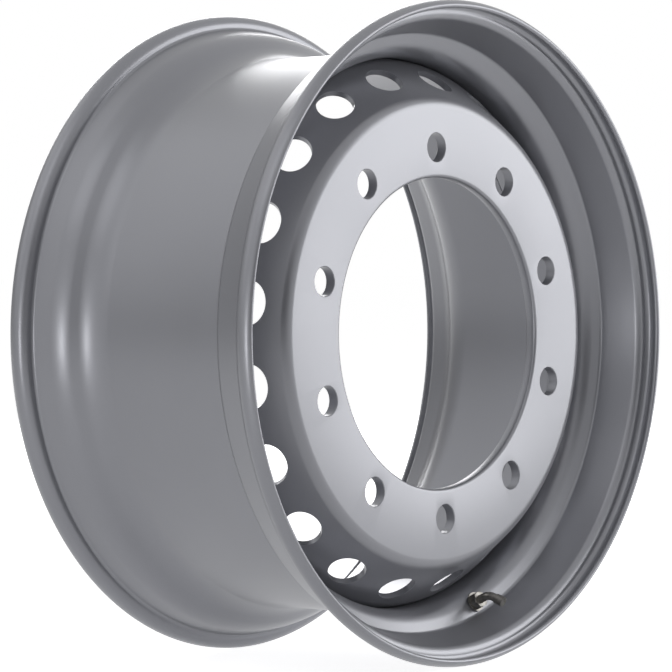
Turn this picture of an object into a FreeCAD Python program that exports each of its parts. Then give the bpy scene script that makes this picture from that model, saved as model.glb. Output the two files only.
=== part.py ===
import FreeCAD, Part
import math
import os

import Sketcher

# Truck steel wheel, 22.5 inch, drop-centre rim with a welded pressed disc and a clamp-in valve.
# Frame: the axle line is Y, the outboard (street) side faces -Y, Z is up, and the origin is
# the centre of the rim, halfway between the two flanges. Lengths are in mm, angles in degrees.
SIZES = [
    # Rim, rolled from one strip
    ("bead_seat_dia", 571.5, "nominal rim diameter at the foot of the flange"),
    ("rim_width", 247.65, "between the tyre sides of the two flanges"),
    ("rim_wall", 5.0, "strip thickness"),
    ("flange_height", 12.7, "flange top above the nominal diameter"),
    ("lip_radius", 10.0, "outer bends of the lip, over the flange and down to its tip"),
    ("lip_crest", 14.6, "flange, from its tyre side to the corner where the lip turns down"),
    ("lip_reach", 19.7, "flange, from its tyre side to the tip of the lip"),
    ("lip_droop_angle", 45.0, "angle by which the lip turns down to the axle"),
    ("lip_tip_flat", 0.6, "flat left at the tip of the lip between its rounded edges"),
    ("flange_foot_radius", 3.0, "tyre-side corner between flange and bead seat"),
    ("seat_taper_angle", 15.0, "bead seat angle"),
    ("outboard_seat", 38.0, "bead seat length on the street side"),
    ("inboard_seat", 26.5, "bead seat length on the vehicle side"),
    ("well_depth", 30.25, "nominal radius less the radius of the well"),
    ("outboard_wall_angle", 66.0, "steepness of the well's street side"),
    ("inboard_slope_angle", 46.0, "steepness of the well's vehicle side"),
    ("outboard_shoulder_radius", 4.0, "inner bend from bead seat to well, street side"),
    ("outboard_well_radius", 16.0, "tyre-side bend into the well, street side"),
    ("inboard_shoulder_radius", 16.0, "inner bend from bead seat to well, vehicle side"),
    ("inboard_well_radius", 22.0, "tyre-side bend into the well, vehicle side"),
    # Disc, pressed from plate and thinned towards its edge
    ("wheel_inset", 99.0, "hub face to the centre of the rim"),
    ("disc_wall", 10.0, "plate thickness at the bolt circle"),
    ("skirt_wall", 6.5, "plate thickness at the foot of the skirt"),
    ("disc_edge_wall", 5.0, "plate thickness at the flange"),
    ("bore_dia", 281.0, "hub spigot bore"),
    ("bore_chamfer", 2.5, "chamfer on the street side of the bore"),
    ("disc_shoulder_radius", 14.0, "street-side bend from flat to skirt"),
    ("skirt_angle", 36.5, "skirt to the axle line"),
    ("skirt_rise", 40.3, "skirt, radially from the corner of the flat to the flange"),
    ("disc_flange_length", 34.0, "straight rim that is pressed into the well"),
    ("disc_flange_bend", 20.0, "inner bend from skirt to flange"),
    ("press_clearance", 0.1, "radial room between disc flange and rim"),
    ("bolt_web", 27.0, "plate from the bore to the bolt circle, 335 across"),
    ("bolt_count", 10, "bolt holes"),
    ("bolt_hole_dia", 26.0, "bolt hole"),
    ("hand_hole_count", 20, "ventilation holes in the skirt"),
    ("hand_hole_width", 40.0, "ventilation hole along the rim"),
    ("hand_hole_height", 32.0, "ventilation hole up the skirt"),
    ("hand_hole_lift", 36.0, "hole centre up the skirt, from the corner of the flat"),
    ("weld_leg", 5.0, "fillet weld between disc flange and rim"),
    # Valve, clamped through the street side of the well
    ("valve_angle", 164.5, "place round the wheel, clockwise from the top seen from the street"),
    ("valve_drop", 11.0, "hole centre down the well wall, from the corner of the bead seat"),
    ("valve_hole_dia", 9.7, "hole in the rim"),
    ("valve_press", 0.6, "depth by which the flat round the hole is pressed in"),
    ("valve_pad_margin", 1.0, "flat round the hole, beyond washer and grommet"),
    ("stem_dia", 7.7, "valve stem"),
    ("stem_rise", 15.0, "straight stem, from the rim to the bend"),
    ("stem_bend_radius", 12.0, "bend of the stem"),
    ("stem_bend_angle", 46.0, "bend of the stem"),
    ("stem_end", 9.0, "straight stem past the bend"),
    ("stem_passage_dia", 2.6, "air passage"),
    ("head_dia", 15.0, "stem head on the tyre side"),
    ("head_height", 4.0, "stem head"),
    ("grommet_dia", 14.0, "rubber grommet under the head"),
    ("grommet_height", 3.0, "rubber grommet, clamped"),
    ("washer_dia", 18.0, "washer under the nut"),
    ("washer_height", 1.6, "washer"),
    ("nut_flats", 14.0, "hexagon nut across flats"),
    ("nut_height", 7.0, "hexagon nut"),
    ("thread_clearance", 0.1, "radial room round the stem"),
    ("core_dia", 5.0, "valve core"),
    ("core_length", 6.0, "valve core"),
    ("core_pin_dia", 1.6, "pin of the core"),
    ("core_pin_length", 1.4, "pin above the core"),
    ("cap_dia", 9.4, "dust cap"),
    ("cap_skirt", 5.5, "stem length inside the cap"),
    ("cap_top", 1.6, "end wall of the cap"),
    ("cap_seal_height", 0.9, "rubber seal in the cap"),
]

doc = FreeCAD.newDocument("truck_wheel")
sheet = doc.addObject("Spreadsheet::Sheet", "Sizes")
for row, (alias, number, note) in enumerate(SIZES, start=1):
    sheet.set(f"A{row}", alias)
    sheet.set(f"B{row}", str(number))
    sheet.set(f"C{row}", note)
    sheet.setAlias(f"B{row}", alias)
doc.recompute()


def formula(text):
    """Return an expression with each size name pointed at its cell."""
    for alias, _, _ in sorted(SIZES, key=lambda entry: -len(entry[0])):
        text = text.replace(f"{{{alias}}}", f"Sizes.{alias}")
    return text


def size(text):
    """Return the number that an expression of sizes gives."""
    found = sheet.evalExpression(formula(text))
    return float(getattr(found, "Value", found))


def miter(corner, angle_in, angle_out, wall):
    """Return the corner of the far side of a sheet, whose near side turns at corner.

    A corner is an (axial, radial) pair of expressions. The angles are those of the sheet before
    and after the corner, from the axle line, and the far side lies towards the axle.
    """
    middle = f"(({angle_in}) + ({angle_out})) / 2"
    half = f"(({angle_out}) - ({angle_in})) / 2"
    axial = f"{corner[0]} + ({wall}) * sin({middle}) / cos({half})"
    radial = f"{corner[1]} - ({wall}) * cos({middle}) / cos({half})"
    return axial, radial


def origin_feature(body, role):
    """Return one of a body's own origin planes or axes."""
    return next(item for item in body.Origin.OriginFeatures if item.Role == role)


def new_sketch(body, name, plane):
    """Return an empty sketch on one of the body's origin planes."""
    sketch = body.newObject("Sketcher::SketchObject", name)
    sketch.AttachmentSupport = [(origin_feature(body, plane), "")]
    sketch.MapMode = "FlatFace"
    return sketch


def bind(sketch, constraint, name, text):
    """Add a constraint to a sketch and drive it by an expression."""
    index = sketch.addConstraint(constraint)
    sketch.renameConstraint(index, name)
    sketch.setExpression(f"Constraints.{name}", formula(text))


def outline(body, name, corners, plane="XY_Plane"):
    """Return a sketch of a closed outline, from (axial, radial) pairs of expressions.

    On the XY plane the radius runs along X and the axle line is Y.
    """
    sketch = new_sketch(body, name, plane)
    points = [FreeCAD.Vector(size(radial), size(axial), 0) for axial, radial in corners]
    count = len(points)
    for index in range(count):
        sketch.addGeometry(Part.LineSegment(points[index], points[(index + 1) % count]), False)
    for index in range(count):
        sketch.addConstraint(Sketcher.Constraint("Coincident", index, 2, (index + 1) % count, 1))
    for index, (axial, radial) in enumerate(corners):
        across = Sketcher.Constraint("DistanceX", -1, 1, index, 1, points[index].x)
        along = Sketcher.Constraint("DistanceY", -1, 1, index, 1, points[index].y)
        bind(sketch, across, f"radius_{index}", radial)
        bind(sketch, along, f"place_{index}", axial)
    return sketch


def revolve(body, name, sketch):
    """Turn a sketch about its vertical axis into a ring."""
    turned = body.newObject("PartDesign::Revolution", name)
    turned.Profile = sketch
    turned.ReferenceAxis = (sketch, ["V_Axis"])
    turned.Angle = 360
    doc.recompute()
    return turned


def ring_edges(shape, corners):
    """Return the names of the circular edges that run through (axial, radial) corners."""
    names = []
    for axial, radial in corners:
        place = (size(axial), size(radial))
        for index, edge in enumerate(shape.Edges, start=1):
            curve = edge.Curve
            if not isinstance(curve, Part.Circle):
                continue
            if math.hypot(curve.Center.y - place[0], curve.Radius - place[1]) < 1e-4:
                names.append(f"Edge{index}")
                break
    return names


def round_rings(body, name, corners, radius):
    """Round the ring edges at some corners of the body with one radius."""
    base = body.Tip
    names = ring_edges(base.Shape, corners)
    if len(names) != len(corners):
        raise RuntimeError(f"{name}: {len(names)} of {len(corners)} edges found")
    rounded = body.newObject("PartDesign::Fillet", name)
    rounded.Base = (base, names)
    rounded.setExpression("Radius", formula(radius))
    doc.recompute()
    return rounded


def tilted_sketch(body, name, axial, radial, tilt):
    """Return an empty sketch at a place above the axle line, tilted about X."""
    sketch = new_sketch(body, name, "XY_Plane")
    place = FreeCAD.Vector(0, size(axial), size(radial))
    turn = FreeCAD.Rotation(FreeCAD.Vector(1, 0, 0), size(tilt))
    sketch.AttachmentOffset = FreeCAD.Placement(place, turn)
    sketch.setExpression("AttachmentOffset.Base.y", formula(axial))
    sketch.setExpression("AttachmentOffset.Base.z", formula(radial))
    sketch.setExpression("AttachmentOffset.Rotation.Angle", formula(tilt))
    return sketch


def add_circle(sketch, dia, across="0", along="0"):
    """Add a circle to a sketch, at a place in its plane."""
    centre = FreeCAD.Vector(size(across), size(along), 0)
    sketch.addGeometry(Part.Circle(centre, FreeCAD.Vector(0, 0, 1), size(dia) / 2), False)
    if across == "0":
        sketch.addConstraint(Sketcher.Constraint("PointOnObject", 0, 3, -2))
    else:
        bind(sketch, Sketcher.Constraint("DistanceX", -1, 1, 0, 3, centre.x), "across", across)
    if along == "0":
        sketch.addConstraint(Sketcher.Constraint("PointOnObject", 0, 3, -1))
    else:
        bind(sketch, Sketcher.Constraint("DistanceY", -1, 1, 0, 3, centre.y), "along", along)
    bind(sketch, Sketcher.Constraint("Diameter", 0, size(dia)), "dia", dia)


def cut(body, name, sketch, depth, both_ways=False):
    """Cut a sketch into the body against its normal, and check that something went."""
    before = body.Tip.Shape.Volume
    pocket = body.newObject("PartDesign::Pocket", name)
    pocket.Profile = sketch
    pocket.setExpression("Length", formula(depth))
    pocket.Midplane = both_ways
    doc.recompute()
    if not pocket.Shape.Volume < before:
        raise RuntimeError(f"{name} cuts nothing")
    return pocket


def ring_of(body, name, feature, count):
    """Repeat a feature round the axle line."""
    pattern = body.newObject("PartDesign::PolarPattern", name)
    pattern.Originals = [feature]
    pattern.Axis = (origin_feature(body, "Y_Axis"), [""])
    pattern.Angle = 360
    pattern.setExpression("Occurrences", formula(count))
    body.Tip = pattern
    doc.recompute()
    return pattern


def new_body(label):
    """Return an empty body whose label names the sub-part."""
    body = doc.addObject("PartDesign::Body", label)
    body.Label = label
    return body


# Places that several pieces share, as expressions of the sizes
seat_radius = "{bead_seat_dia} / 2"
well_radius = f"({seat_radius} - {{well_depth}})"
flange_face = "{rim_width} / 2"
lip_top_radius = f"({seat_radius} + {{flange_height}})"
lip_tip_radius = f"({lip_top_radius} - ({{lip_reach}} - {{lip_crest}}) * tan({{lip_droop_angle}}))"
outboard_shoulder = (
    f"(-{flange_face} + {{outboard_seat}})",
    f"({seat_radius} - {{outboard_seat}} * tan({{seat_taper_angle}}))",
)
inboard_shoulder = (
    f"({flange_face} - {{inboard_seat}})",
    f"({seat_radius} - {{inboard_seat}} * tan({{seat_taper_angle}}))",
)
outboard_well = (
    f"({outboard_shoulder[0]} + ({outboard_shoulder[1]} - {well_radius}) / tan({{outboard_wall_angle}}))",
    well_radius,
)
inboard_well = (
    f"({inboard_shoulder[0]} - ({inboard_shoulder[1]} - {well_radius}) / tan({{inboard_slope_angle}}))",
    well_radius,
)
well_bore = f"({well_radius} - {{rim_wall}})"

# The tyre side of the rim from the street to the vehicle: each corner, and the angle of the
# strip that leads away from it
rim_line = [
    (f"(-{flange_face} - {{lip_reach}})", lip_tip_radius),
    (f"(-{flange_face} - {{lip_crest}})", lip_top_radius),
    (f"(-{flange_face})", lip_top_radius),
    (f"(-{flange_face})", seat_radius),
    outboard_shoulder,
    outboard_well,
    inboard_well,
    inboard_shoulder,
    (f"({flange_face})", seat_radius),
    (f"({flange_face})", lip_top_radius),
    (f"({flange_face} + {{lip_crest}})", lip_top_radius),
    (f"({flange_face} + {{lip_reach}})", lip_tip_radius),
]
rim_angles = [
    "{lip_droop_angle}",
    "0",
    "-90",
    "-{seat_taper_angle}",
    "-{outboard_wall_angle}",
    "0",
    "{inboard_slope_angle}",
    "{seat_taper_angle}",
    "90",
    "0",
    "-{lip_droop_angle}",
]
angles_before = [rim_angles[0]] + rim_angles
angles_after = rim_angles + [rim_angles[-1]]
rim_inner = [
    miter(corner, before, after, "{rim_wall}")
    for corner, before, after in zip(rim_line, angles_before, angles_after)
]

# The valve's seat is pressed in from the well wall, below the corner of the bead seat
shoulder_inner = rim_inner[rim_line.index(outboard_shoulder)]
valve_seat = (
    f"({shoulder_inner[0]} + {{valve_drop}} * cos({{outboard_wall_angle}})"
    " - {valve_press} * sin({outboard_wall_angle}))",
    f"({shoulder_inner[1]} - {{valve_drop}} * sin({{outboard_wall_angle}})"
    " - {valve_press} * cos({outboard_wall_angle}))",
)
valve_tilt = "(180 - {outboard_wall_angle})"


def make_rim():
    """Rim: one rolled strip with two flanges, two tapered bead seats and a drop-centre well."""
    body = new_body("rim")
    revolve(body, "rim_strip", outline(body, "rim_section", rim_line + rim_inner[::-1]))
    lip_tips = [side[end] for end in (0, -1) for side in (rim_line, rim_inner)]
    round_rings(body, "lip_edges", lip_tips, "({rim_wall} - {lip_tip_flat}) / 2")
    thicker = " + {rim_wall}"
    bends = [
        ("lip_crest", [1, 10], "{lip_radius}", "{lip_radius} - {rim_wall}"),
        ("lip_top", [2, 9], "{lip_radius}", "{lip_radius} - {rim_wall}"),
        ("foot", [3, 8], "{flange_foot_radius}", "{flange_foot_radius}" + thicker),
        ("outboard_shoulder", [4], "{outboard_shoulder_radius}" + thicker, "{outboard_shoulder_radius}"),
        ("outboard_well", [5], "{outboard_well_radius}", "{outboard_well_radius}" + thicker),
        ("inboard_well", [6], "{inboard_well_radius}", "{inboard_well_radius}" + thicker),
        ("inboard_shoulder", [7], "{inboard_shoulder_radius}" + thicker, "{inboard_shoulder_radius}"),
    ]
    for name, corners, tyre_radius, inner_radius in bends:
        round_rings(body, f"{name}_tyre", [rim_line[corner] for corner in corners], tyre_radius)
        round_rings(body, f"{name}_inner", [rim_inner[corner] for corner in corners], inner_radius)

    # Flats pressed round the valve hole on both sides, and the hole, all square to the well wall
    pad_sketch = tilted_sketch(body, "valve_pad_section", valve_seat[0], valve_seat[1], valve_tilt)
    add_circle(pad_sketch, "{washer_dia} + 2 * {valve_pad_margin}")
    pad = body.newObject("PartDesign::Pad", "valve_pad")
    pad.Profile = pad_sketch
    pad.Reversed = True
    pad.setExpression("Length", formula("{rim_wall}"))
    doc.recompute()
    recess_depth = "({grommet_height} + {head_height} + {valve_pad_margin})"
    recess_axial = f"{valve_seat[0]} + ({{rim_wall}} + {recess_depth}) * sin({{outboard_wall_angle}})"
    recess_radial = f"{valve_seat[1]} + ({{rim_wall}} + {recess_depth}) * cos({{outboard_wall_angle}})"
    recess_sketch = tilted_sketch(body, "valve_recess_section", recess_axial, recess_radial, valve_tilt)
    add_circle(recess_sketch, "max({head_dia}; {grommet_dia}) + {valve_pad_margin}")
    recess = body.newObject("PartDesign::Pocket", "valve_recess")
    recess.Profile = recess_sketch
    recess.Reversed = True
    recess.setExpression("Length", formula(recess_depth))
    doc.recompute()
    hole_sketch = tilted_sketch(body, "valve_hole_section", valve_seat[0], valve_seat[1], valve_tilt)
    add_circle(hole_sketch, "{valve_hole_dia}")
    cut(body, "valve_hole", hole_sketch, "{rim_wall} + {valve_pad_margin}")
    body.Placement.Rotation = FreeCAD.Rotation(FreeCAD.Vector(0, 1, 0), size("{valve_angle}"))
    return body


hub_face = "(-{wheel_inset})"
street_face = "(-{wheel_inset} - {disc_wall})"
flange_radius = f"({well_bore} - {{press_clearance}})"
# Corner of flat and skirt, before it is rounded
flat_corner_radius = f"({flange_radius} - {{skirt_rise}})"
flange_corner = f"({street_face} + {{skirt_rise}} / tan({{skirt_angle}}))"
flange_end = f"({flange_corner} + {{disc_flange_length}})"
# The hub face meets the inner side of the skirt, one skirt wall in from the street side
skirt_foot_radius = (
    f"({flat_corner_radius} + {{disc_wall}} * tan({{skirt_angle}}) - {{skirt_wall}} / cos({{skirt_angle}}))"
)


def make_disc():
    """Disc: pressed plate with a flat bolting face, a skirt with ventilation holes and a flange."""
    body = new_body("disc")
    outer = [
        (street_face, "{bore_dia} / 2"),
        (street_face, flat_corner_radius),
        (flange_corner, flange_radius),
        (flange_end, flange_radius),
    ]
    inner = [
        (hub_face, "{bore_dia} / 2"),
        (hub_face, skirt_foot_radius),
        miter(outer[2], "{skirt_angle}", "0", "{disc_edge_wall}"),
        (flange_end, f"({flange_radius} - {{disc_edge_wall}})"),
    ]
    revolve(body, "disc_plate", outline(body, "disc_section", outer + inner[::-1]))
    round_rings(body, "shoulder_outer", [outer[1]], "{disc_shoulder_radius}")
    round_rings(body, "shoulder_inner", [inner[1]], "{disc_shoulder_radius} - {skirt_wall}")
    round_rings(body, "flange_outer", [outer[2]], "{disc_flange_bend} + {disc_edge_wall}")
    round_rings(body, "flange_inner", [inner[2]], "{disc_flange_bend}")
    plate = body.Tip
    chamfer = body.newObject("PartDesign::Chamfer", "bore_edge")
    chamfer.Base = (plate, ring_edges(plate.Shape, [outer[0]]))
    chamfer.setExpression("Size", formula("{bore_chamfer}"))
    doc.recompute()

    bolt_sketch = new_sketch(body, "bolt_section", "XZ_Plane")
    # The first bolt hole lies half a hand-hole step round from the first hand hole
    half_step = "180 / {hand_hole_count}"
    bolt_circle_radius = "({bore_dia} / 2 + {bolt_web})"
    across = f"{bolt_circle_radius} * sin({half_step})"
    along = f"{bolt_circle_radius} * cos({half_step})"
    add_circle(bolt_sketch, "{bolt_hole_dia}", across, along)
    bolt_sketch.AttachmentOffset = FreeCAD.Placement(
        FreeCAD.Vector(0, 0, -size(hub_face)), FreeCAD.Rotation()
    )
    bolt_sketch.setExpression("AttachmentOffset.Base.z", formula(f"-{hub_face}"))
    bolt_hole = cut(body, "bolt_hole", bolt_sketch, "4 * {disc_wall}", both_ways=True)
    ring_of(body, "bolt_holes", bolt_hole, "{bolt_count}")

    # Hand holes are pierced square to the skirt, an even step apart
    lift_axial = f"({street_face} + {{hand_hole_lift}} * cos({{skirt_angle}}))"
    lift_radial = f"({flat_corner_radius} + {{hand_hole_lift}} * sin({{skirt_angle}}))"
    hand_sketch = tilted_sketch(body, "hand_hole_section", lift_axial, lift_radial, "{skirt_angle}")
    width = size("{hand_hole_width}")
    height = size("{hand_hole_height}")
    oval = Part.Ellipse(FreeCAD.Vector(0, 0, 0), width / 2, height / 2)
    hand_sketch.addGeometry(oval, False)
    hand_sketch.exposeInternalGeometry(0)
    hand_sketch.addConstraint(Sketcher.Constraint("Coincident", 0, 3, -1, 1))
    hand_sketch.addConstraint(Sketcher.Constraint("Horizontal", 1))
    wide = Sketcher.Constraint("Distance", 1, 1, 1, 2, width)
    high = Sketcher.Constraint("Distance", 2, 1, 2, 2, height)
    bind(hand_sketch, wide, "width", "{hand_hole_width}")
    bind(hand_sketch, high, "height", "{hand_hole_height}")
    hand_hole = cut(body, "hand_hole", hand_sketch, "4 * {disc_wall}", both_ways=True)
    ring_of(body, "hand_holes", hand_hole, "{hand_hole_count}")
    # Turned back so that a bolt hole is at the top
    body.Placement.Rotation = FreeCAD.Rotation(FreeCAD.Vector(0, 1, 0), -size(half_step))
    return body


def make_weld():
    """Weld: a fillet round the inboard edge of the disc flange, against the rim."""
    body = new_body("disc_weld")
    corners = [
        (flange_end, flange_radius),
        (f"({flange_end} + {{weld_leg}})", flange_radius),
        (flange_end, f"({flange_radius} - {{weld_leg}})"),
    ]
    revolve(body, "weld_bead", outline(body, "weld_section", corners))
    return body


def valve_placement():
    """Return the frame of the valve hole: Z leaves the rim, Y runs up the well wall."""
    tilt = FreeCAD.Rotation(FreeCAD.Vector(1, 0, 0), size(valve_tilt))
    seat = FreeCAD.Placement(FreeCAD.Vector(0, size(valve_seat[0]), size(valve_seat[1])), tilt)
    turn = FreeCAD.Rotation(FreeCAD.Vector(0, 1, 0), size("{valve_angle}"))
    return FreeCAD.Placement(FreeCAD.Vector(), turn).multiply(seat)


tip_across = "({stem_bend_radius} * (1 - cos({stem_bend_angle})) + {stem_end} * sin({stem_bend_angle}))"
tip_up = (
    "({stem_rise} + {stem_bend_radius} * sin({stem_bend_angle}) + {stem_end} * cos({stem_bend_angle}))"
)
head_underside = "(-{rim_wall} - {grommet_height})"


def tip_placement():
    """Return the frame of the stem's tip: Z leaves the stem."""
    lean = FreeCAD.Rotation(FreeCAD.Vector(1, 0, 0), -size("{stem_bend_angle}"))
    local = FreeCAD.Placement(FreeCAD.Vector(0, size(tip_across), size(tip_up)), lean)
    return valve_placement().multiply(local)


def make_stem():
    """Valve stem: a head on the tyre side and a bent tube that leaves the rim."""
    body = new_body("valve_stem")
    spine = new_sketch(body, "stem_line", "YZ_Plane")
    foot = FreeCAD.Vector(0, size(head_underside), 0)
    knee = FreeCAD.Vector(0, size("{stem_rise}"), 0)
    radius = size("{stem_bend_radius}")
    angle = math.radians(size("{stem_bend_angle}"))
    centre = FreeCAD.Vector(radius, knee.y, 0)
    bend = Part.Circle(centre, FreeCAD.Vector(0, 0, 1), radius)
    bent = centre + FreeCAD.Vector(-radius * math.cos(angle), radius * math.sin(angle), 0)
    tip = FreeCAD.Vector(size(tip_across), size(tip_up), 0)
    spine.addGeometry(Part.LineSegment(foot, knee), False)
    spine.addGeometry(Part.ArcOfCircle(bend, math.pi - angle, math.pi), False)
    spine.addGeometry(Part.LineSegment(bent, tip), False)
    spine.addConstraint(Sketcher.Constraint("PointOnObject", 0, 1, -2))
    spine.addConstraint(Sketcher.Constraint("Vertical", 0))
    spine.addConstraint(Sketcher.Constraint("Tangent", 0, 2, 1, 2))
    spine.addConstraint(Sketcher.Constraint("Tangent", 1, 1, 2, 1))
    bind(spine, Sketcher.Constraint("DistanceY", -1, 1, 0, 1, foot.y), "foot", head_underside)
    bind(spine, Sketcher.Constraint("DistanceY", -1, 1, 0, 2, knee.y), "knee", "{stem_rise}")
    bind(spine, Sketcher.Constraint("Radius", 1, radius), "bend", "{stem_bend_radius}")
    bind(spine, Sketcher.Constraint("DistanceX", -1, 1, 2, 2, tip.x), "tip_across", tip_across)
    bind(spine, Sketcher.Constraint("DistanceY", -1, 1, 2, 2, tip.y), "tip_up", tip_up)

    head_sketch = tilted_sketch(body, "head_section", "0", head_underside, "0")
    add_circle(head_sketch, "{head_dia}")
    head = body.newObject("PartDesign::Pad", "head")
    head.Profile = head_sketch
    head.Reversed = True
    head.setExpression("Length", formula("{head_height}"))
    doc.recompute()
    tube_sketch = tilted_sketch(body, "tube_section", "0", head_underside, "0")
    add_circle(tube_sketch, "{stem_dia}")
    tube = body.newObject("PartDesign::AdditivePipe", "tube")
    tube.Profile = tube_sketch
    tube.Spine = (spine, ["Edge1", "Edge2", "Edge3"])
    doc.recompute()
    passage_sketch = tilted_sketch(body, "passage_section", "0", head_underside, "0")
    add_circle(passage_sketch, "{stem_passage_dia}")
    passage = body.newObject("PartDesign::SubtractivePipe", "passage")
    passage.Profile = passage_sketch
    passage.Spine = (spine, ["Edge1", "Edge2", "Edge3"])
    doc.recompute()
    port_sketch = tilted_sketch(body, "port_section", "0", f"{head_underside} - {{head_height}}", "0")
    add_circle(port_sketch, "{stem_passage_dia}")
    port = body.newObject("PartDesign::Pocket", "port")
    port.Profile = port_sketch
    port.Reversed = True
    port.setExpression("Length", formula("{head_height}"))
    doc.recompute()
    chamber_sketch = tilted_sketch(body, "chamber_section", tip_across, tip_up, "-{stem_bend_angle}")
    add_circle(chamber_sketch, "{core_dia} + 2 * {thread_clearance}")
    cut(body, "chamber", chamber_sketch, "{core_length} + {core_pin_length}")
    body.Placement = valve_placement()
    return body


def make_tube(label, dia, bore, height, base):
    """Return a plain ring about Z from four expressions, its foot at base."""
    solid = doc.addObject("Part::Cylinder", f"{label}_solid")
    hole = doc.addObject("Part::Cylinder", f"{label}_hole")
    for cylinder, width in ((solid, dia), (hole, bore)):
        cylinder.setExpression("Radius", formula(f"({width}) / 2"))
        cylinder.setExpression("Height", formula(height))
        cylinder.setExpression("Placement.Base.z", formula(base))
    return cut_from(label, solid, hole)


def cut_from(label, solid, hole):
    """Return a solid less a hole, under the sub-part's label."""
    piece = doc.addObject("Part::Cut", label)
    piece.Label = label
    piece.Base = solid
    piece.Tool = hole
    return piece


stem_bore = "{stem_dia} + 2 * {thread_clearance}"


def make_grommet():
    """Grommet: the rubber ring that the stem's head squeezes against the rim."""
    piece = make_tube("valve_grommet", "{grommet_dia}", stem_bore, "{grommet_height}", head_underside)
    piece.Placement = valve_placement()
    return piece


def make_washer():
    """Washer between the nut and the rim."""
    piece = make_tube("valve_washer", "{washer_dia}", stem_bore, "{washer_height}", "0")
    piece.Placement = valve_placement()
    return piece


def make_nut():
    """Nut: a hexagon with chamfered corners that clamps the stem to the rim."""
    label = "valve_nut"
    hexagon = doc.addObject("Part::Prism", f"{label}_hexagon")
    hexagon.Polygon = 6
    hexagon.setExpression("Circumradius", formula("{nut_flats} / sqrt(3)"))
    hexagon.setExpression("Height", formula("{nut_height}"))
    cone = doc.addObject("Part::Cone", f"{label}_corners")
    # The cone just clears the flats at the top face and cuts the corners at 30 degrees
    cone.setExpression("Radius2", formula("{nut_flats} / 2"))
    cone.setExpression("Radius1", formula("{nut_flats} / 2 + {nut_height} / tan(30)"))
    cone.setExpression("Height", formula("{nut_height}"))
    chamfered = doc.addObject("Part::Common", f"{label}_blank")
    chamfered.Base = hexagon
    chamfered.Tool = cone
    hole = doc.addObject("Part::Cylinder", f"{label}_hole")
    hole.setExpression("Radius", formula(f"({stem_bore}) / 2"))
    hole.setExpression("Height", formula("{nut_height}"))
    piece = cut_from(label, chamfered, hole)
    lift = FreeCAD.Placement(FreeCAD.Vector(0, 0, size("{washer_height}")), FreeCAD.Rotation())
    piece.Placement = valve_placement().multiply(lift)
    return piece


def make_core():
    """Valve core: the screwed-in insert, with its pin just below the stem's tip."""
    body = new_body("valve_core")
    corners = [
        ("(-{core_length} - {core_pin_length})", "0"),
        ("(-{core_length} - {core_pin_length})", "{core_dia} / 2"),
        ("(-{core_pin_length})", "{core_dia} / 2"),
        ("(-{core_pin_length})", "{core_pin_dia} / 2"),
        ("0", "{core_pin_dia} / 2"),
        ("0", "0"),
    ]
    revolve(body, "core_turned", outline(body, "core_section", corners, "XZ_Plane"))
    body.Placement = tip_placement()
    return body


def make_cap():
    """Dust cap, screwed over the stem's tip and closed by a rubber seal."""
    body = new_body("valve_cap")
    bore = f"({stem_bore}) / 2"
    top = "({cap_seal_height} + {cap_top})"
    corners = [
        ("(-{cap_skirt})", bore),
        ("(-{cap_skirt})", "{cap_dia} / 2"),
        (top, "{cap_dia} / 2"),
        (top, "0"),
        ("{cap_seal_height}", "0"),
        ("{cap_seal_height}", bore),
    ]
    revolve(body, "cap_moulding", outline(body, "cap_section", corners, "XZ_Plane"))
    body.Placement = tip_placement()
    return body


def make_cap_seal():
    """Seal: a rubber disc between the stem's tip and the end of the cap."""
    piece = doc.addObject("Part::Cylinder", "cap_seal")
    piece.Label = "cap_seal"
    piece.setExpression("Radius", formula("{stem_dia} / 2"))
    piece.setExpression("Height", formula("{cap_seal_height}"))
    piece.Placement = tip_placement()
    return piece


subparts = [
    make_rim(),
    make_disc(),
    make_weld(),
    make_stem(),
    make_grommet(),
    make_washer(),
    make_nut(),
    make_core(),
    make_cap(),
    make_cap_seal(),
]
doc.recompute()

for item in doc.Objects:
    if "Invalid" in item.State or "Error" in item.State:
        raise RuntimeError(f"{item.Label}: {item.State}")
for piece in subparts:
    if piece.Shape.isNull() or not piece.Shape.isValid():
        raise RuntimeError(f"{piece.Label} has no sound shape")

os.makedirs("parts", exist_ok=True)
for piece in subparts:
    piece.Shape.exportStep(f"parts/{piece.Label}.step")
    print(f"{piece.Label}: {len(piece.Shape.Solids)} solid, {piece.Shape.Volume / 1000:.1f} cm3")
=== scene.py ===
"""Looks of a steel truck wheel: satin enamel on a rolled rim and a pressed disc, and a bent valve.

The wheel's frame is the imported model's: the axle line is Y, the street side faces -Y and Z is up.
Sizes in the classes are millimetres, as on a drawing, and meshes are metres.
"""
import logging
import math
from dataclasses import dataclass, field
from enum import Enum
from typing import Any, Iterable, Sequence

import bmesh
import bpy
from mathutils import Matrix, Vector

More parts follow.
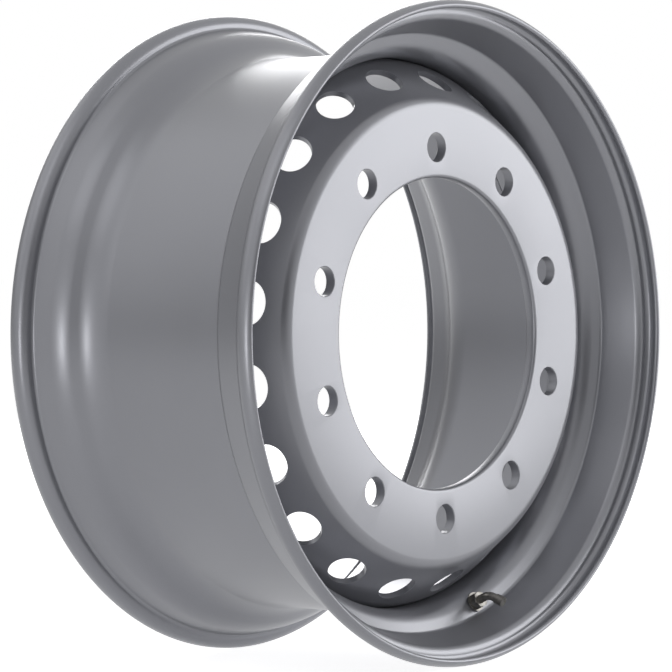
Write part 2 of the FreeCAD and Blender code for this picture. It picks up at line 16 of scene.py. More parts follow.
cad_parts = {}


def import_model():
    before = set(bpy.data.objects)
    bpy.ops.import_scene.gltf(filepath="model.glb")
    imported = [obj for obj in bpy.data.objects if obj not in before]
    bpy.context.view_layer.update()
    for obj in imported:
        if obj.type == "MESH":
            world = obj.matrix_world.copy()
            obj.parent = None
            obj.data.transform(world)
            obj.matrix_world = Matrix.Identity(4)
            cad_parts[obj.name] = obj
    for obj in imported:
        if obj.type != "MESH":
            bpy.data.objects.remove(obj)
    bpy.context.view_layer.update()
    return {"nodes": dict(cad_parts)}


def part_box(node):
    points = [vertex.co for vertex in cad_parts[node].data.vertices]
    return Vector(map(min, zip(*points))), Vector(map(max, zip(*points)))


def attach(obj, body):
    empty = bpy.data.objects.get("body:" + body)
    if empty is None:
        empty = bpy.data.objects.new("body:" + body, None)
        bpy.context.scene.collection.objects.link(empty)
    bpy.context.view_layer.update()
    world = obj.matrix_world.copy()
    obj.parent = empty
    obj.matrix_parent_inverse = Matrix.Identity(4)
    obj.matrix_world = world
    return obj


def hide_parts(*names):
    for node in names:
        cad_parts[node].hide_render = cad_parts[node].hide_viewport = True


LOG = logging.getLogger("truck_wheel")
MM = 0.001
AXLE = Vector((0.0, 1.0, 0.0))
ORIGIN = Vector((0.0, 0.0, 0.0))
BODY = "root"
MERGE_MM = 0.001
PIERCED_MERGE_MM = 0.002
IMAGE_PIXELS = 672
SENSOR_MM = 36.0


def linear(hex_colour: str) -> tuple[float, float, float, float]:
    """Turn an sRGB hex colour into linear light.

    Args:
        hex_colour: six hex digits, such as "A0A1A4".

    Returns:
        Red, green, blue and an alpha of one.
    """
    channels = [int(hex_colour[i:i + 2], 16) / 255 for i in (0, 2, 4)]
    steps = [c / 12.92 if c <= 0.04045 else ((c + 0.055) / 1.055) ** 2.4 for c in channels]
    return steps[0], steps[1], steps[2], 1.0


def add_node(tree: bpy.types.NodeTree, kind: str, settings: dict[str, Any] | None = None,
             inputs: dict[str | int, Any] | None = None) -> bpy.types.Node:
    """Add a node, set its options and values, and link what leads into it.

    Args:
        tree: the node tree.
        kind: the node's type name.
        settings: attributes of the node.
        inputs: by input name or number, a plain value or an output socket to link.

    Returns:
        The new node.
    """
    node = tree.nodes.new(kind)
    for name, value in (settings or {}).items():
        setattr(node, name, value)
    for key, value in (inputs or {}).items():
        socket = node.inputs[key]
        if isinstance(value, bpy.types.NodeSocket):
            tree.links.new(value, socket)
        else:
            socket.default_value = value
    return node


def per_metre(size_mm: float) -> float:
    """Return the texture scale that makes a feature of that size, in metres of Object space."""
    return 1.0 / (size_mm * MM)


@dataclass(frozen=True)
class Finish:
    """A surface finish: a colour and how the surface reflects."""

    name: str
    colour: str
    metallic: float
    roughness: float

    def start(self) -> tuple[bpy.types.Material, bpy.types.NodeTree, bpy.types.Node]:
        """Make the material with its shader's plain values.

        Returns:
            The material, its node tree and its Principled shader.
        """
        material = bpy.data.materials.new(self.name)
        material.use_nodes = True
        tree = material.node_tree
        shader = tree.nodes["Principled BSDF"]
        shader.inputs["Base Color"].default_value = linear(self.colour)
        shader.inputs["Metallic"].default_value = self.metallic
        shader.inputs["Roughness"].default_value = self.roughness
        return material, tree, shader


@dataclass(frozen=True)
class WheelEnamel(Finish):
    """Silver-grey stoving enamel, sprayed: aluminium flake under resin, so a soft metallic sheen.

    The flake lies unevenly, which shows as faint clouds, and the resin dries with orange peel.
    """

    cloud_mm: float = 140.0
    cloud_share: float = 0.05
    peel_mm: float = 3.0
    peel_depth_mm: float = 0.012
    flake_mm: float = 0.9
    flake_weight: float = 0.35
    gloss_spread: float = 0.03
    coat: float = 0.12
    coat_roughness: float = 0.22

    def material(self) -> bpy.types.Material:
        """Build the enamel."""
        material, tree, shader = self.start()
        place = add_node(tree, "ShaderNodeTexCoord").outputs["Object"]
        cloud = add_node(tree, "ShaderNodeTexNoise", inputs={
            "Vector": place, "Scale": per_metre(self.cloud_mm), "Detail": 3.0})
        flake = add_node(tree, "ShaderNodeTexNoise", inputs={
            "Vector": place, "Scale": per_metre(self.flake_mm), "Detail": 1.0})
        both = add_node(tree, "ShaderNodeMath", {"operation": "MULTIPLY_ADD"}, {
            0: flake.outputs["Fac"], 1: self.flake_weight, 2: cloud.outputs["Fac"]})
        shade = add_node(tree, "ShaderNodeMapRange", inputs={
            "Value": both.outputs[0], "From Min": 0.35, "From Max": 1.0,
            "To Min": 1.0 - self.cloud_share, "To Max": 1.0 + self.cloud_share})
        tint = add_node(tree, "ShaderNodeMix", {"data_type": "RGBA", "blend_type": "MULTIPLY"}, {
            "Factor": 1.0, 6: linear(self.colour), 7: shade.outputs["Result"]})
        tree.links.new(tint.outputs[2], shader.inputs["Base Color"])
        gloss = add_node(tree, "ShaderNodeMapRange", inputs={
            "Value": cloud.outputs["Fac"], "From Min": 0.3, "From Max": 0.7,
            "To Min": self.roughness - self.gloss_spread,
            "To Max": self.roughness + self.gloss_spread})
        tree.links.new(gloss.outputs["Result"], shader.inputs["Roughness"])
        peel = add_node(tree, "ShaderNodeTexNoise", inputs={
            "Vector": place, "Scale": per_metre(self.peel_mm), "Detail": 2.0})
        bump = add_node(tree, "ShaderNodeBump", inputs={
            "Strength": 0.5, "Distance": self.peel_depth_mm * MM, "Height": peel.outputs["Fac"]})
        tree.links.new(bump.outputs["Normal"], shader.inputs["Normal"])
        shader.inputs["Coat Weight"].default_value = self.coat
        shader.inputs["Coat Roughness"].default_value = self.coat_roughness
        return material


@dataclass(frozen=True)
class PlatedBrass(Finish):
    """Turned brass with dull nickel plate: grey metal, with fine turning marks and darker hollows."""

    mark_mm: float = 0.5
    mark_depth_mm: float = 0.02
    stain_mm: float = 4.0
    stain_colour: str = "3A3733"

    def material(self) -> bpy.types.Material:
        """Build the plated metal."""
        material, tree, shader = self.start()
        place = add_node(tree, "ShaderNodeTexCoord").outputs["Object"]
        stain = add_node(tree, "ShaderNodeTexNoise", inputs={
            "Vector": place, "Scale": per_metre(self.stain_mm), "Detail": 4.0})
        amount = add_node(tree, "ShaderNodeMapRange", inputs={
            "Value": stain.outputs["Fac"], "From Min": 0.45, "From Max": 0.75, "To Max": 0.7})
        tint = add_node(tree, "ShaderNodeMix", {"data_type": "RGBA"}, {
            "Factor": amount.outputs["Result"], 6: linear(self.colour), 7: linear(self.stain_colour)})
        tree.links.new(tint.outputs[2], shader.inputs["Base Color"])
        marks = add_node(tree, "ShaderNodeTexNoise", inputs={
            "Vector": place, "Scale": per_metre(self.mark_mm), "Detail": 2.0})
        bump = add_node(tree, "ShaderNodeBump", inputs={
            "Strength": 0.3, "Distance": self.mark_depth_mm * MM, "Height": marks.outputs["Fac"]})
        tree.links.new(bump.outputs["Normal"], shader.inputs["Normal"])
        return material


@dataclass(frozen=True)
class MouldedRubber(Finish):
    """Moulded black rubber: matt, with a fine grain from the mould."""

    grain_mm: float = 0.4
    grain_depth_mm: float = 0.05
    gloss_spread: float = 0.1

    def material(self) -> bpy.types.Material:
        """Build the rubber."""
        material, tree, shader = self.start()
        place = add_node(tree, "ShaderNodeTexCoord").outputs["Object"]
        grain = add_node(tree, "ShaderNodeTexNoise", inputs={
            "Vector": place, "Scale": per_metre(self.grain_mm), "Detail": 2.0})
        bump = add_node(tree, "ShaderNodeBump", inputs={
            "Strength": 0.4, "Distance": self.grain_depth_mm * MM, "Height": grain.outputs["Fac"]})
        tree.links.new(bump.outputs["Normal"], shader.inputs["Normal"])
        bloom = add_node(tree, "ShaderNodeMapRange", inputs={
            "Value": grain.outputs["Fac"], "To Min": self.roughness - self.gloss_spread,
            "To Max": self.roughness + self.gloss_spread})
        tree.links.new(bloom.outputs["Result"], shader.inputs["Roughness"])
        return material


class Paints(Enum):
    """The finishes on the wheel and its valve."""

    ENAMEL = WheelEnamel("silver_grey_enamel", "8F9096", 0.4, 0.34)
    NICKEL = PlatedBrass("dull_nickel_plate", "84827E", 0.9, 0.36)
    BRASS = PlatedBrass("turned_brass", "B99A5A", 1.0, 0.30, stain_colour="5A4626")
    RUBBER = MouldedRubber("moulded_black_rubber", "1B1B1C", 0.0, 0.72)


@dataclass
class Corner:
    """A corner of a section: its place along the axle, its radius from the axle and its bend."""

    axial: float
    radial: float
    bend: float = 0.0
    arcs: int = 8


def section_wire(mesh: bmesh.types.BMesh, corners: Sequence[Corner]) -> None:
    """Draw a closed section above the axle, in the YZ plane, with its corners rounded.

    Args:
        mesh: an empty mesh.
        corners: the section's corners, in order.
    """
    verts = [mesh.verts.new((0.0, corner.axial * MM, corner.radial * MM)) for corner in corners]
    for first, second in zip(verts, verts[1:]):
        mesh.edges.new((first, second))
    mesh.edges.new((verts[-1], verts[0]))
    for vert, corner in zip(verts, corners):
        if corner.bend <= 0.0:
            continue
        ends = [edge.other_vert(vert).co - vert.co for edge in vert.link_edges]
        inside = ends[0].angle(ends[1])
        bmesh.ops.bevel(mesh, geom=[vert], offset=corner.bend * MM / math.tan(inside / 2),
                        offset_type="OFFSET", segments=corner.arcs, profile=0.5,
                        affect="VERTICES", material=-1)


def spin_section(mesh: bmesh.types.BMesh, steps: int) -> None:
    """Turn everything in a mesh once round the axle, and close it."""
    bmesh.ops.spin(mesh, geom=mesh.verts[:] + mesh.edges[:], cent=ORIGIN, axis=AXLE,
                   dvec=ORIGIN, angle=math.tau, steps=steps, use_merge=True)
    bmesh.ops.remove_doubles(mesh, verts=mesh.verts[:], dist=MERGE_MM * MM)
    bmesh.ops.recalc_face_normals(mesh, faces=mesh.faces[:])


def finish_mesh(mesh: bmesh.types.BMesh, name: str, crease_deg: float = 35.0) -> bpy.types.Object:
    """Turn a bmesh into an object with smooth faces and crisp corners.

    Args:
        mesh: the modelled mesh, which is freed.
        name: the object's name.
        crease_deg: edges sharper than this stay crisp.

    Returns:
        The object, at the origin and in the scene.
    """
    for face in mesh.faces:
        face.smooth = True
    for edge in mesh.edges:
        if len(edge.link_faces) == 2 and edge.calc_face_angle(0.0) > math.radians(crease_deg):
            edge.smooth = False
    data = bpy.data.meshes.new(name)
    mesh.to_mesh(data)
    mesh.free()
    piece = bpy.data.objects.new(name, data)
    bpy.context.scene.collection.objects.link(piece)
    return piece


def seat_piece(piece: bpy.types.Object, material: bpy.types.Material, slot: str, *nodes: str) -> None:
    """Dress a piece, let it ride on the wheel and stand for its CAD nodes.

    Args:
        piece: the modelled piece.
        material: its finish.
        slot: the record's material slot; not used.
        nodes: the CAD nodes that it stands for.
    """
    piece.data.materials.clear()
    piece.data.materials.append(material)
    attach(piece, BODY)
    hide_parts(*nodes)
    faces = len(piece.data.polygons)
    LOG.info("%s: %d faces, stands for %s", piece.name, faces, ", ".join(nodes))


def far_side(corner: Corner, angle_in: float, angle_out: float, wall: float) -> tuple[float, float]:
    """Return where the other side of a sheet turns, towards the axle.

    Args:
        corner: the corner on the near side.
        angle_in: the sheet's angle to the axle before the corner, in degrees.
        angle_out: the same after it.
        wall: the sheet's thickness.

    Returns:
        The far corner's place along the axle and its radius.
    """
    middle = math.radians(angle_in + angle_out) / 2
    half = math.radians(angle_out - angle_in) / 2
    reach = wall / math.cos(half)
    return corner.axial + reach * math.sin(middle), corner.radial - reach * math.cos(middle)


@dataclass
class Rim:
    """The rolled rim: two flanges with rolled lips, two tapered bead seats and a well."""

    seat_radius: float = 285.75
    width: float = 247.65
    wall: float = 5.0
    flange_height: float = 12.7
    lip_radius: float = 10.0
    lip_crest: float = 14.6
    lip_reach: float = 19.7
    lip_droop: float = 45.0
    lip_round: float = 2.2
    foot_radius: float = 3.0
    seat_taper: float = 15.0
    outboard_seat: float = 38.0
    inboard_seat: float = 26.5
    well_depth: float = 30.25
    outboard_wall_angle: float = 66.0
    inboard_slope_angle: float = 46.0
    outboard_shoulder: float = 4.0
    outboard_well: float = 16.0
    inboard_shoulder: float = 30.0
    inboard_well: float = 38.0
    steps: int = 320

    @property
    def well_radius(self) -> float:
        """Radius of the well on the tyre side."""
        return self.seat_radius - self.well_depth

    def tyre_side(self) -> list[Corner]:
        """Return the corners of the tyre side, from the street to the vehicle."""
        half = self.width / 2
        taper = math.tan(math.radians(self.seat_taper))
        lip = self.seat_radius + self.flange_height
        tip = lip - (self.lip_reach - self.lip_crest) * math.tan(math.radians(self.lip_droop))
        near = Corner(self.outboard_seat - half, self.seat_radius - self.outboard_seat * taper)
        far = Corner(half - self.inboard_seat, self.seat_radius - self.inboard_seat * taper)
        well = self.well_radius
        near_well = near.axial + (near.radial - well) / math.tan(math.radians(self.outboard_wall_angle))
        far_well = far.axial - (far.radial - well) / math.tan(math.radians(self.inboard_slope_angle))
        near.bend = self.outboard_shoulder + self.wall
        far.bend = self.inboard_shoulder + self.wall
        return [
            Corner(-half - self.lip_reach, tip, self.lip_round, arcs=6),
            Corner(-half - self.lip_crest, lip, self.lip_radius),
            Corner(-half, lip, self.lip_radius, arcs=14),
            Corner(-half, self.seat_radius, self.foot_radius, arcs=6),
            near,
            Corner(near_well, well, self.outboard_well),
            Corner(far_well, well, self.inboard_well, arcs=10),
            far,
            Corner(half, self.seat_radius, self.foot_radius, arcs=6),
            Corner(half, lip, self.lip_radius, arcs=14),
            Corner(half + self.lip_crest, lip, self.lip_radius),
            Corner(half + self.lip_reach, tip, self.lip_round, arcs=6),
        ]

    def angles(self) -> list[float]:
        """Return the angle of each stretch of the strip to the axle, in degrees."""
        return [self.lip_droop, 0.0, -90.0, -self.seat_taper, -self.outboard_wall_angle, 0.0,
                self.inboard_slope_angle, self.seat_taper, 90.0, 0.0, -self.lip_droop]

    def section(self) -> list[Corner]:
        """Return the whole section: the tyre side, and the inner side one wall away."""
        line = self.tyre_side()
        angles = self.angles()
        before = [angles[0], *angles]
        after = [*angles, angles[-1]]
        inner = []
        for corner, angle_in, angle_out in zip(line, before, after):
            axial, radial = far_side(corner, angle_in, angle_out, self.wall)
            turn = angle_out - angle_in
            bend = corner.bend if turn == 0 else corner.bend + math.copysign(self.wall, turn)
            inner.append(Corner(axial, radial, bend, corner.arcs))
        return line + inner[::-1]

    def build(self, enamel: bpy.types.Material) -> bpy.types.Object:
        """Model the rim and dress it."""
        mesh = bmesh.new()
        section_wire(mesh, self.section())
        spin_section(mesh, self.steps)
        piece = finish_mesh(mesh, "rim_strip", crease_deg=60.0)
        seat_piece(piece, enamel, "wheel_paint", "rim")
        return piece


@dataclass
class Disc:
    """The pressed disc: bolting face, hub bore, skirt with hand holes and flange."""

    inset: float = 99.0
    wall: float = 10.0
    skirt_wall: float = 6.5
    edge_wall: float = 5.0
    bore_radius: float = 140.5
    bore_round: float = 3.0
    bore_break: float = 0.8
    edge_break: float = 1.0
    shoulder_radius: float = 14.0
    skirt_angle: float = 36.5
    skirt_rise: float = 40.3
    flange_length: float = 34.0
    flange_bend: float = 20.0
    press_clearance: float = 0.1
    bolt_circle_radius: float = 167.5
    bolt_count: int = 10
    bolt_hole_radius: float = 13.0
    bolt_hole_chamfer: float = 0.6
    hand_hole_count: int = 20
    hand_hole_width: float = 40.0
    hand_hole_height: float = 32.0
    hand_hole_lift: float = 36.0
    weld_leg: float = 5.0
    weld_ripple: float = 0.5
    weld_pitch: float = 4.5
    weld_bulge: float = 0.62
    weld_round: float = 0.6
    weld_lag: float = 0.35
    ripple_steps: int = 5
    steps: int = 360
    hole_segments: int = 56
    rim: Rim = field(default_factory=Rim)

    @property
    def street_face(self) -> float:
        """Place of the street-side face along the axle."""
        return -self.inset - self.wall

    @property
    def flange_radius(self) -> float:
        """Outer radius of the flange that is pressed into the rim."""
        return self.rim.well_radius - self.rim.wall - self.press_clearance

    @property
    def flat_corner(self) -> float:
        """Radius at which the flat and the skirt would meet."""
        return self.flange_radius - self.skirt_rise

    @property
    def flange_start(self) -> float:
        """Place along the axle where the skirt and the flange would meet."""
        return self.street_face + self.skirt_rise / math.tan(math.radians(self.skirt_angle))

    @property
    def flange_end(self) -> float:
        """Inboard edge of the flange."""
        return self.flange_start + self.flange_length

    def section(self) -> list[Corner]:
        """Return the plate's section, street side first."""
        shoulder = Corner(self.street_face, self.flat_corner, self.shoulder_radius, arcs=14)
        skirt_end = Corner(self.flange_start, self.flange_radius, self.flange_bend + self.edge_wall)
        lean = math.radians(self.skirt_angle)
        skirt_foot = self.flat_corner + self.wall * math.tan(lean) - self.skirt_wall / math.cos(lean)
        inner_end = far_side(skirt_end, self.skirt_angle, 0.0, self.edge_wall)
        return [
            Corner(self.street_face, self.bore_radius, self.bore_round, arcs=5),
            shoulder,
            skirt_end,
            Corner(self.flange_end, self.flange_radius),
            Corner(self.flange_end, self.flange_radius - self.edge_wall, self.edge_break, arcs=3),
            Corner(*inner_end, self.flange_bend),
            Corner(-self.inset, skirt_foot, self.shoulder_radius - self.skirt_wall, arcs=10),
            Corner(-self.inset, self.bore_radius, self.bore_break, arcs=3),
        ]

    def bolt_cutter(self, mesh: bmesh.types.BMesh) -> None:
        """Add the cutter of the top bolt hole, flared at both faces so that its edges are broken."""
        radius = self.bolt_hole_radius
        flare = self.bolt_hole_chamfer
        margin = self.wall / 2
        outline = [
            (self.street_face - margin, 0.0),
            (self.street_face - margin, radius + flare),
            (self.street_face, radius + flare),
            (self.street_face + flare, radius),
            (-self.inset - flare, radius),
            (-self.inset, radius + flare),
            (-self.inset + margin, radius + flare),
            (-self.inset + margin, 0.0),
        ]
        verts = [mesh.verts.new((0.0, axial * MM, radial * MM)) for axial, radial in outline]
        for pair in zip(verts, verts[1:]):
            mesh.edges.new(pair)
        spin_section(mesh, self.hole_segments)
        bmesh.ops.translate(mesh, verts=mesh.verts[:], vec=(0.0, 0.0, self.bolt_circle_radius * MM))

    def hand_cutter(self, mesh: bmesh.types.BMesh) -> None:
        """Add the cutter of the top hand hole, an oval bar square to the skirt."""
        reach = 2 * self.wall * MM
        bmesh.ops.create_circle(mesh, cap_ends=True, segments=self.hole_segments, radius=MM)
        bmesh.ops.scale(mesh, verts=mesh.verts[:],
                        vec=(self.hand_hole_width / 2, self.hand_hole_height / 2, 1.0))
        grown = bmesh.ops.extrude_face_region(mesh, geom=mesh.faces[:])["geom"]
        moved = [part for part in grown if isinstance(part, bmesh.types.BMVert)]
        bmesh.ops.translate(mesh, verts=moved, vec=(0.0, 0.0, 2 * reach))
        angle = math.radians(self.skirt_angle)
        place = Vector((0.0, self.street_face + self.hand_hole_lift * math.cos(angle),
                        self.flat_corner + self.hand_hole_lift * math.sin(angle))) * MM
        turn = Matrix.Translation(place) @ Matrix.Rotation(angle, 4, "X")
        bmesh.ops.transform(mesh, verts=mesh.verts[:], matrix=turn @ Matrix.Translation((0, 0, -reach)))

    def ring_of_cutters(self, name: str, cutter: bmesh.types.BMesh, count: int,
                        first_deg: float) -> bpy.types.Object:
        """Repeat a cutter round the axle.

        Args:
            name: the name of the cutters' object.
            cutter: the cutter at the top of the wheel, which is freed.
            count: how many go round.
            first_deg: the angle of the first from the top.

        Returns:
            One object that holds them all.
        """
        bmesh.ops.recalc_face_normals(cutter, faces=cutter.faces[:])
        pattern = cutter.verts[:] + cutter.edges[:] + cutter.faces[:]
        first = Matrix.Rotation(math.radians(first_deg), 3, "Y")
        bmesh.ops.rotate(cutter, verts=cutter.verts[:], cent=ORIGIN, matrix=first)
        for index in range(1, count):
            copied = bmesh.ops.duplicate(cutter, geom=pattern)["geom"]
            verts = [part for part in copied if isinstance(part, bmesh.types.BMVert)]
            turn = Matrix.Rotation(math.tau * index / count, 3, "Y")
            bmesh.ops.rotate(cutter, verts=verts, cent=ORIGIN, matrix=turn)
        return finish_mesh(cutter, name)

    def build(self, enamel: bpy.types.Material) -> bpy.types.Object:
        """Model the disc, pierce it and dress it."""
        mesh = bmesh.new()
        section_wire(mesh, self.section())
        spin_section(mesh, self.steps)
        blank = finish_mesh(mesh, "disc_blank")
        bolt = bmesh.new()
        self.bolt_cutter(bolt)
        hand = bmesh.new()
        self.hand_cutter(hand)
        half_step = 180.0 / self.hand_hole_count
        cutters = [
            self.ring_of_cutters("bolt_cutters", bolt, self.bolt_count, 0.0),
            self.ring_of_cutters("hand_cutters", hand, self.hand_hole_count, half_step),
        ]
        pierced = pierce(blank, cutters)
        piece = finish_mesh(pierced, "disc_plate", crease_deg=30.0)
        seat_piece(piece, enamel, "wheel_paint", "disc")
        return piece

    def build_weld(self, enamel: bpy.types.Material) -> bpy.types.Object:
        """Model the fillet weld as overlapping ripples round the flange's inboard edge."""
        leg = self.weld_leg
        bulge = leg * self.weld_bulge
        corners = [
            Corner(self.flange_end, self.flange_radius),
            Corner(self.flange_end + leg, self.flange_radius),
            Corner(self.flange_end + bulge, self.flange_radius - bulge, leg * self.weld_round, arcs=5),
            Corner(self.flange_end, self.flange_radius - leg),
        ]
        mesh = bmesh.new()
        section_wire(mesh, corners)
        turns = round(math.tau * self.flange_radius / self.weld_pitch)
        spin_section(mesh, turns * self.ripple_steps)
        root = Vector((self.flange_end * MM, self.flange_radius * MM))
        for vert in mesh.verts:
            out = Vector((vert.co.y, math.hypot(vert.co.x, vert.co.z))) - root
            share = max(0.0, min(out.x, -out.y)) / (bulge * MM)
            phase = math.atan2(vert.co.x, vert.co.z) * turns / math.tau + self.weld_lag * share
            ripple = 1.0 - (phase % 1.0)
            vert.co.y -= self.weld_ripple * MM * ripple * share
        piece = finish_mesh(mesh, "weld_bead", crease_deg=50.0)
        seat_piece(piece, enamel, "wheel_paint", "disc_weld")
        return piece


def pierce(blank: bpy.types.Object, cutters: Iterable[bpy.types.Object]) -> bmesh.types.BMesh:
    """Cut holes in a blank and clean up.

    Args:
        blank: the object to pierce, which is removed.
        cutters: closed objects to take away, which are removed.

    Returns:
        The pierced mesh.
    """
    for cutter in cutters:
        step = blank.modifiers.new(cutter.name, "BOOLEAN")
        step.operation = "DIFFERENCE"
        step.solver = "EXACT"
        step.object = cutter
    graph = bpy.context.evaluated_depsgraph_get()
    pierced = bmesh.new()
    pierced.from_object(blank, graph)
    for spent in (blank, *cutters):
        bpy.data.objects.remove(spent, do_unlink=True)
    bmesh.ops.remove_doubles(pierced, verts=pierced.verts[:], dist=PIERCED_MERGE_MM * MM)
    bmesh.ops.recalc_face_normals(pierced, faces=pierced.faces[:])
    return pierced


@dataclass(frozen=True)
class Lamp:
    """A soft rectangular lamp that faces the wheel's centre, in metres and watts."""

    name: str
    place: tuple[float, float, float]
    width: float
    height: float
    watts: float

    def hang(self) -> None:
        """Put the lamp in the scene."""
        data = bpy.data.lights.new(self.name, "AREA")
        data.shape = "RECTANGLE"
        data.size = self.width
        data.size_y = self.height
        data.energy = self.watts
        lamp = bpy.data.objects.new(self.name, data)
        lamp.location = self.place
        lamp.rotation_euler = (-Vector(self.place)).to_track_quat("-Z", "Y").to_euler()
        bpy.context.scene.collection.objects.link(lamp)


@dataclass
class Studio:
    """A pale floor under the wheel, soft lamps and a white surround.

    Gloss on the wheel shows the surround's sides: dark in front, dim low behind, bright high behind.
    """

    floor_colour: str = "F2F2F2"
    floor_size: float = 14.0
    ambient: float = 0.2
    floor_glow: float = 0.82
    dark_side: tuple[float, float, float] = (-0.42, -0.91, 0.0)
    dark_level: float = 0.0
    dark_spread: tuple[float, float] = (0.84, 0.97)
    back_side: tuple[float, float, float] = (0.0, 0.8, -0.6)
    back_level: float = 0.45
    back_spread: tuple[float, float] = (0.1, 0.65)
    bright_side: tuple[float, float, float] = (-0.45, 0.65, 0.61)
    bright_level: float = 1.5
    bright_spread: tuple[float, float] = (0.74, 0.92)
    lamps: tuple[Lamp, ...] = (
        Lamp("key_softbox", (2.6, -2.1, 0.5), 1.9, 2.4, 53.0),
        Lamp("left_strip", (-3.15, -0.95, -0.03), 0.5, 0.5, 12.0),
        Lamp("top_softbox", (-1.9, -0.6, 2.4), 1.6, 1.6, 8.0),
        Lamp("back_softbox", (2.2, 2.6, 1.2), 1.8, 1.8, 45.0),
    )

    def build(self, floor_level: float) -> None:
        """Lay the floor and hang the lamps.

        Args:
            floor_level: the height that the wheel stands on, in metres.
        """
        self.build_world()
        mesh = bmesh.new()
        bmesh.ops.create_grid(mesh, x_segments=1, y_segments=1, size=self.floor_size)
        bmesh.ops.translate(mesh, verts=mesh.verts[:], vec=(0.0, 0.0, floor_level))
        floor = finish_mesh(mesh, "studio_floor")
        floor.data.materials.append(self.floor_material())
        for lamp in self.lamps:
            lamp.hang()

    def build_world(self) -> None:
        """Set a surround that is white to the camera, uneven in gloss and dim as a source of light."""
        world = bpy.data.worlds.new("studio_surround")
        bpy.context.scene.world = world
        world.use_nodes = True
        tree = world.node_tree
        path = add_node(tree, "ShaderNodeLightPath").outputs
        front = self.shade(tree, self.dark_side, self.dark_spread, self.dark_level)
        back = self.shade(tree, self.back_side, self.back_spread, self.back_level)
        both = add_node(tree, "ShaderNodeMath", {"operation": "MULTIPLY"}, {0: front, 1: back})
        bright = self.shade(tree, self.bright_side, self.bright_spread, self.bright_level)
        room = add_node(tree, "ShaderNodeMath", {"operation": "MULTIPLY"}, {
            0: both.outputs[0], 1: bright})
        mirrored = add_node(tree, "ShaderNodeMath", {"operation": "MAXIMUM"}, {
            0: room.outputs[0], 1: path["Is Camera Ray"]})
        level = add_node(tree, "ShaderNodeMapRange", inputs={
            "Value": self.seen_rays(tree), "To Min": self.ambient, "To Max": mirrored.outputs[0]})
        tree.links.new(level.outputs["Result"], tree.nodes["Background"].inputs["Strength"])
        tree.nodes["Background"].inputs["Color"].default_value = (1.0, 1.0, 1.0, 1.0)

    @staticmethod
    def shade(tree: bpy.types.NodeTree, side: Sequence[float], spread: tuple[float, float],
              level: float) -> bpy.types.NodeSocket:
        """Dim or brighten the surround on one side.

        Args:
            tree: the world's nodes.
            side: the direction of that side.
            spread: cosines of the angles from it where the change starts and is full.
            level: the brightness where it is full.

        Returns:
            A socket with the brightness along each ray.
        """
        ray = add_node(tree, "ShaderNodeTexCoord").outputs["Generated"]
        toward = add_node(tree, "ShaderNodeVectorMath", {"operation": "DOT_PRODUCT"}, {
            0: ray, 1: Vector(side).normalized()})
        dimmed = add_node(tree, "ShaderNodeMapRange", {"interpolation_type": "SMOOTHSTEP"}, {
            "Value": toward.outputs["Value"], "From Min": spread[0], "From Max": spread[1],
            "To Min": 1.0, "To Max": level})
        return dimmed.outputs["Result"]

    @staticmethod
    def seen_rays(tree: bpy.types.NodeTree) -> bpy.types.NodeSocket:
        """Return a socket that is one for rays that show a surface, and zero for those that light it."""
        path = add_node(tree, "ShaderNodeLightPath").outputs
        gloss = add_node(tree, "ShaderNodeMath", {"operation": "MAXIMUM"}, {
            0: path["Is Glossy Ray"], 1: path["Is Transmission Ray"]})
        seen = add_node(tree, "ShaderNodeMath", {"operation": "MAXIMUM"}, {
            0: path["Is Camera Ray"], 1: gloss.outputs[0]})
        return seen.outputs[0]

    def floor_material(self) -> bpy.types.Material:
        """Return a pale matt floor that the camera sees near white, with the wheel's shadow."""
        material = bpy.data.materials.new("pale_studio_floor")
        material.use_nodes = True
        tree = material.node_tree
        shader = tree.nodes["Principled BSDF"]
        shader.inputs["Base Color"].default_value = linear(self.floor_colour)
        shader.inputs["Roughness"].default_value = 0.9
        shader.inputs["Specular IOR Level"].default_value = 0.0
        shader.inputs["Emission Color"].default_value = (1.0, 1.0, 1.0, 1.0)
        glow = add_node(tree, "ShaderNodeMath", {"operation": "MULTIPLY"}, {
            0: self.seen_rays(tree), 1: self.floor_glow})
        tree.links.new(glow.outputs[0], shader.inputs["Emission Strength"])
        return material


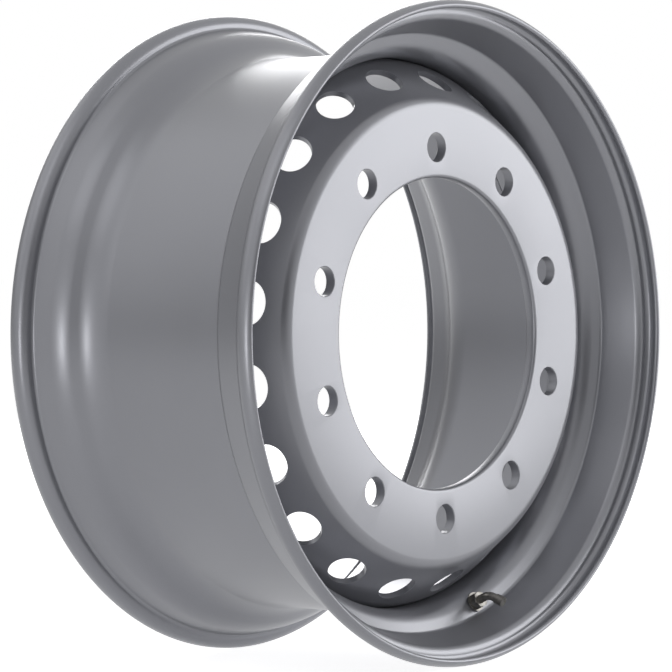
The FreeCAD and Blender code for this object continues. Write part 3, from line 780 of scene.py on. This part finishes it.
@dataclass
class Viewpoint:
    """The camera: the angles it looks along, its distance from the disc face and its lens."""

    azimuth: float = -49.595
    elevation: float = 2.093
    roll: float = -1.444
    distance: float = 3061.6
    focal_pixels: float = 3397.1
    target_right: float = 94.77
    target_up: float = -0.01

    def build(self, face: float) -> None:
        """Set up the camera.

        Args:
            face: place of the disc's street face along the axle, in mm.
        """
        turn = math.radians(self.azimuth)
        lift = math.radians(self.elevation)
        ahead = Vector((-math.sin(turn) * math.cos(lift), math.cos(turn) * math.cos(lift), -math.sin(lift)))
        right = Vector((math.cos(turn), math.sin(turn), 0.0))
        up = right.cross(ahead)
        centre = Vector((0.0, face, 0.0))
        place = (centre - ahead * self.distance - right * self.target_right - up * self.target_up) * MM
        roll = Matrix.Rotation(math.radians(self.roll), 3, -ahead)
        axes = Matrix((roll @ right, roll @ up, -ahead)).transposed().to_4x4()
        data = bpy.data.cameras.new("photo_camera")
        data.sensor_width = SENSOR_MM
        data.lens = self.focal_pixels / IMAGE_PIXELS * SENSOR_MM
        data.clip_end = 50.0
        camera = bpy.data.objects.new("photo_camera", data)
        camera.matrix_world = Matrix.Translation(place) @ axes
        bpy.context.scene.collection.objects.link(camera)
        bpy.context.scene.camera = camera


def main() -> None:
    """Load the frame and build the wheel's looks."""
    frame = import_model()
    bpy.context.scene.view_settings.view_transform = "Standard"
    enamel = Paints.ENAMEL.value.material()
    nickel = Paints.NICKEL.value.material()
    brass = Paints.BRASS.value.material()
    rubber = Paints.RUBBER.value.material()
    rim = Rim()
    rim.build(enamel)
    disc = Disc(rim=rim)
    disc.build(enamel)
    disc.build_weld(enamel)
    plain = {"valve_stem": nickel, "valve_washer": nickel, "valve_nut": nickel, "valve_cap": nickel,
             "valve_core": brass, "valve_grommet": rubber, "cap_seal": rubber}
    for node, material in plain.items():
        for place in frame["nodes"][node].material_slots:
            place.material = material
        LOG.info("%s: CAD shape in %s", node, material.name)
    Studio().build(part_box("rim")[0][2])
    Viewpoint().build(disc.street_face)


if __name__ == "__main__":
    logging.basicConfig(level=logging.INFO, format="%(name)s %(message)s")
    main()
